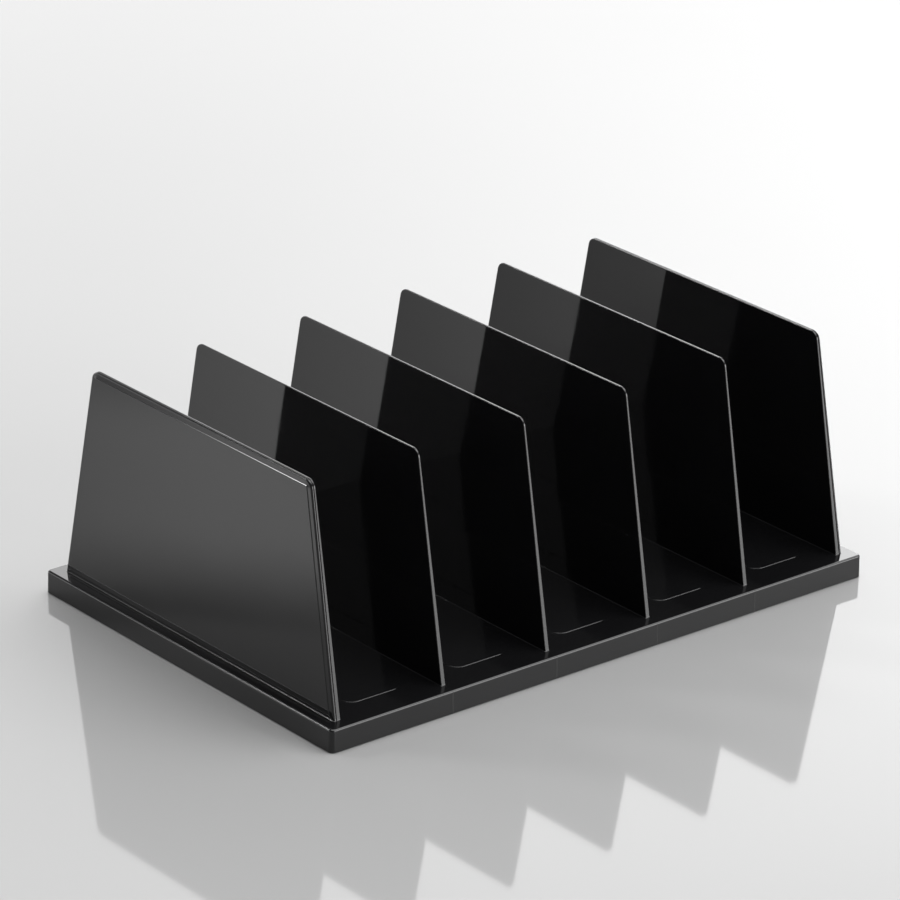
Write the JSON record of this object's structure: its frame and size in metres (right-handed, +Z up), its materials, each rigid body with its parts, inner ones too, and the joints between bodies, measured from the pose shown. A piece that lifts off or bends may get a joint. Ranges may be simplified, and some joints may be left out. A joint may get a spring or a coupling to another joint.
{
  "type": "desktop file sorter",
  "caption": "Upright desktop file sorter with open trapezoid compartments between thin tapered walls on a low skirted base.",
  "frame": {"origin": "on the table, under the middle of the base", "axes": "+X along the row of compartments to the right, +Y from the front to the back, +Z up"},
  "size_m": [0.337, 0.23, 0.125],
  "materials": {
    "gloss_plastic": "high gloss, moulded",
    "clip_plastic": "fine matte",
    "foot_rubber": "matte"
  },
  "bodies": {
    "root": {"base_left": "gloss_plastic", "base_centre_left": "gloss_plastic", "base_centre": "gloss_plastic", "base_centre_right": "gloss_plastic", "base_right": "gloss_plastic", "divider_1": "gloss_plastic", "divider_2": "gloss_plastic", "divider_3": "gloss_plastic", "divider_4": "gloss_plastic", "end_wall_left": "gloss_plastic", "end_wall_right": "gloss_plastic", "end_cover_left": "gloss_plastic", "end_cover_right": "gloss_plastic", "joint_clips": "clip_plastic", "foot_left_front": "foot_rubber", "foot_left_back": "foot_rubber", "foot_centre_front": "foot_rubber", "foot_centre_back": "foot_rubber", "foot_right_front": "foot_rubber", "foot_right_back": "foot_rubber"}
  },
  "joints": []
}
